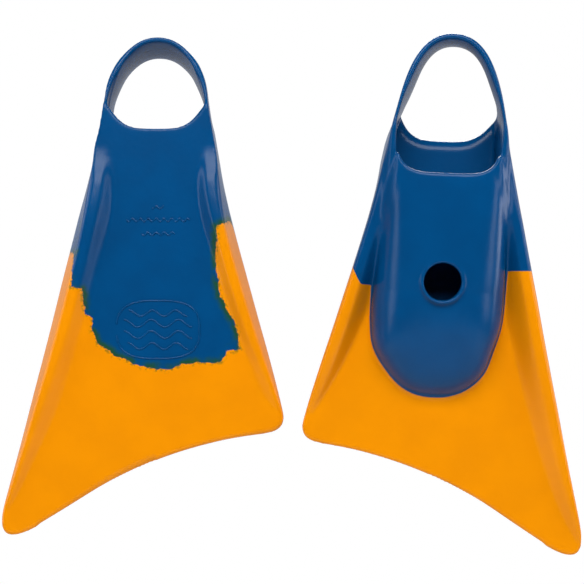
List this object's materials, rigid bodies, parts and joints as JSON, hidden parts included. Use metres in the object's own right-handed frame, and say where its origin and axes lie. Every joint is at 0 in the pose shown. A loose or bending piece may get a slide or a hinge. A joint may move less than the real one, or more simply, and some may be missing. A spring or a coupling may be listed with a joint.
{
  "type": "swim fins",
  "caption": "Pair of short asymmetric rubber swim fins with closed heel straps, drain-holed foot pockets and swept blades between raised rails.",
  "frame": {"origin": "middle of the right fin's sole at its rear edge, on the underside of the sole, where the wearer's heel sits", "axes": "+Z from the blades up to the heel straps, +X from the left fin to the right fin as seen from the front, +Y away from the front"},
  "size_m": [0.4603, 0.1198, 0.4163],
  "materials": {
    "blue_rubber": "semi-gloss moulded rubber, deep blue",
    "orange_rubber": "satin moulded rubber, yellow orange"
  },
  "bodies": {
    "right_fin": {"right_sole": "blue_rubber", "right_upper": "blue_rubber", "right_long_rail_rear": "blue_rubber", "right_short_rail_rear": "blue_rubber", "right_long_rail_middle": "orange_rubber", "right_short_rail_middle": "orange_rubber", "right_web": "orange_rubber"},
    "right_strap": {"right_heel_strap": "blue_rubber"},
    "right_blade": {"right_blade": "orange_rubber", "right_long_rail_tip": "orange_rubber", "right_short_rail_tip": "orange_rubber"},
    "left_fin": {"left_sole": "blue_rubber", "left_upper": "blue_rubber", "left_long_rail_rear": "blue_rubber", "left_short_rail_rear": "blue_rubber", "left_long_rail_middle": "orange_rubber", "left_short_rail_middle": "orange_rubber", "left_web": "orange_rubber"},
    "left_strap": {"left_heel_strap": "blue_rubber"},
    "left_blade": {"left_blade": "orange_rubber", "left_long_rail_tip": "orange_rubber", "left_short_rail_tip": "orange_rubber"}
  },
  "joints": [
    {"name": "right_strap_flex", "type": "hinge", "parent": "right_fin", "child": "right_strap", "pos_m": [-0.00025, -0.033, -0.006], "axis": [0.9992, 0, -0.041], "range_deg": [-20, 20], "stiffness_Nm_per_rad": 3},
    {"name": "right_blade_flex", "type": "hinge", "parent": "right_fin", "child": "right_blade", "pos_m": [-0.00849, -0.004, -0.20683], "axis": [0.9992, 0, -0.041], "range_deg": [-20, 20], "stiffness_Nm_per_rad": 10},
    {"name": "left_lift_off", "type": "slide", "parent": "right_fin", "child": "left_fin", "axis": [0, 0, 1], "range_m": [0, 0.2]},
    {"name": "left_strap_flex", "type": "hinge", "parent": "left_fin", "child": "left_strap", "pos_m": [-0.2274, 0.033, 0.0045], "axis": [-1, 0, 0], "range_deg": [-20, 20], "stiffness_Nm_per_rad": 3},
    {"name": "left_blade_flex", "type": "hinge", "parent": "left_fin", "child": "left_blade", "pos_m": [-0.2274, 0.004, -0.1965], "axis": [-1, 0, 0], "range_deg": [-20, 20], "stiffness_Nm_per_rad": 10}
  ]
}
